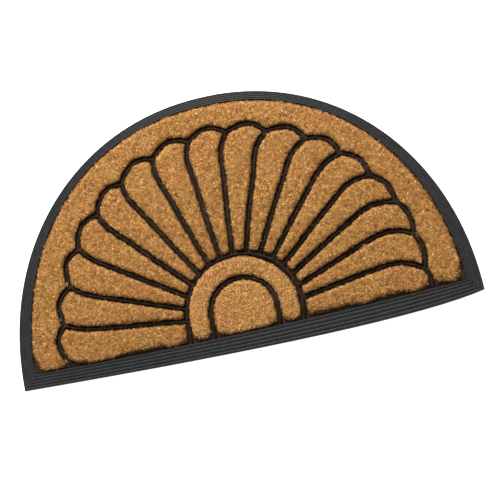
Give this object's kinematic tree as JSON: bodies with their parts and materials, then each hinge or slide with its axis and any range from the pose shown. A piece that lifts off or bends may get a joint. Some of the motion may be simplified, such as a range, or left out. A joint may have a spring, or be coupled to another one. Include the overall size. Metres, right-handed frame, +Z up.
{
  "type": "half round doormat",
  "caption": "Half round doormat of short coir brush in a moulded rubber tray, with a fan of overlapping petals around a half round centre and a ribbed rubber border.",
  "frame": {"origin": "under the middle of the mat, on the surface that it lies on", "axes": "+X along the straight edge to the right, +Y from the straight edge towards the crown of the arc, +Z up"},
  "size_m": [0.7, 0.3868, 0.012],
  "materials": {
    "moulded_rubber": "matte",
    "coir_brush": "matte"
  },
  "bodies": {
    "root": {"rubber_tray": "moulded_rubber", "coir_outer_band": "coir_brush", "coir_petal_01": "coir_brush", "coir_petal_02": "coir_brush", "coir_petal_03": "coir_brush", "coir_petal_04": "coir_brush", "coir_petal_05": "coir_brush", "coir_petal_06": "coir_brush", "coir_petal_07": "coir_brush", "coir_petal_08": "coir_brush", "coir_petal_09": "coir_brush", "coir_petal_10": "coir_brush", "coir_petal_11": "coir_brush", "coir_petal_12": "coir_brush", "coir_petal_13": "coir_brush", "coir_petal_14": "coir_brush", "coir_petal_15": "coir_brush", "coir_petal_16": "coir_brush", "coir_arch": "coir_brush", "coir_centre": "coir_brush"}
  },
  "joints": []
}
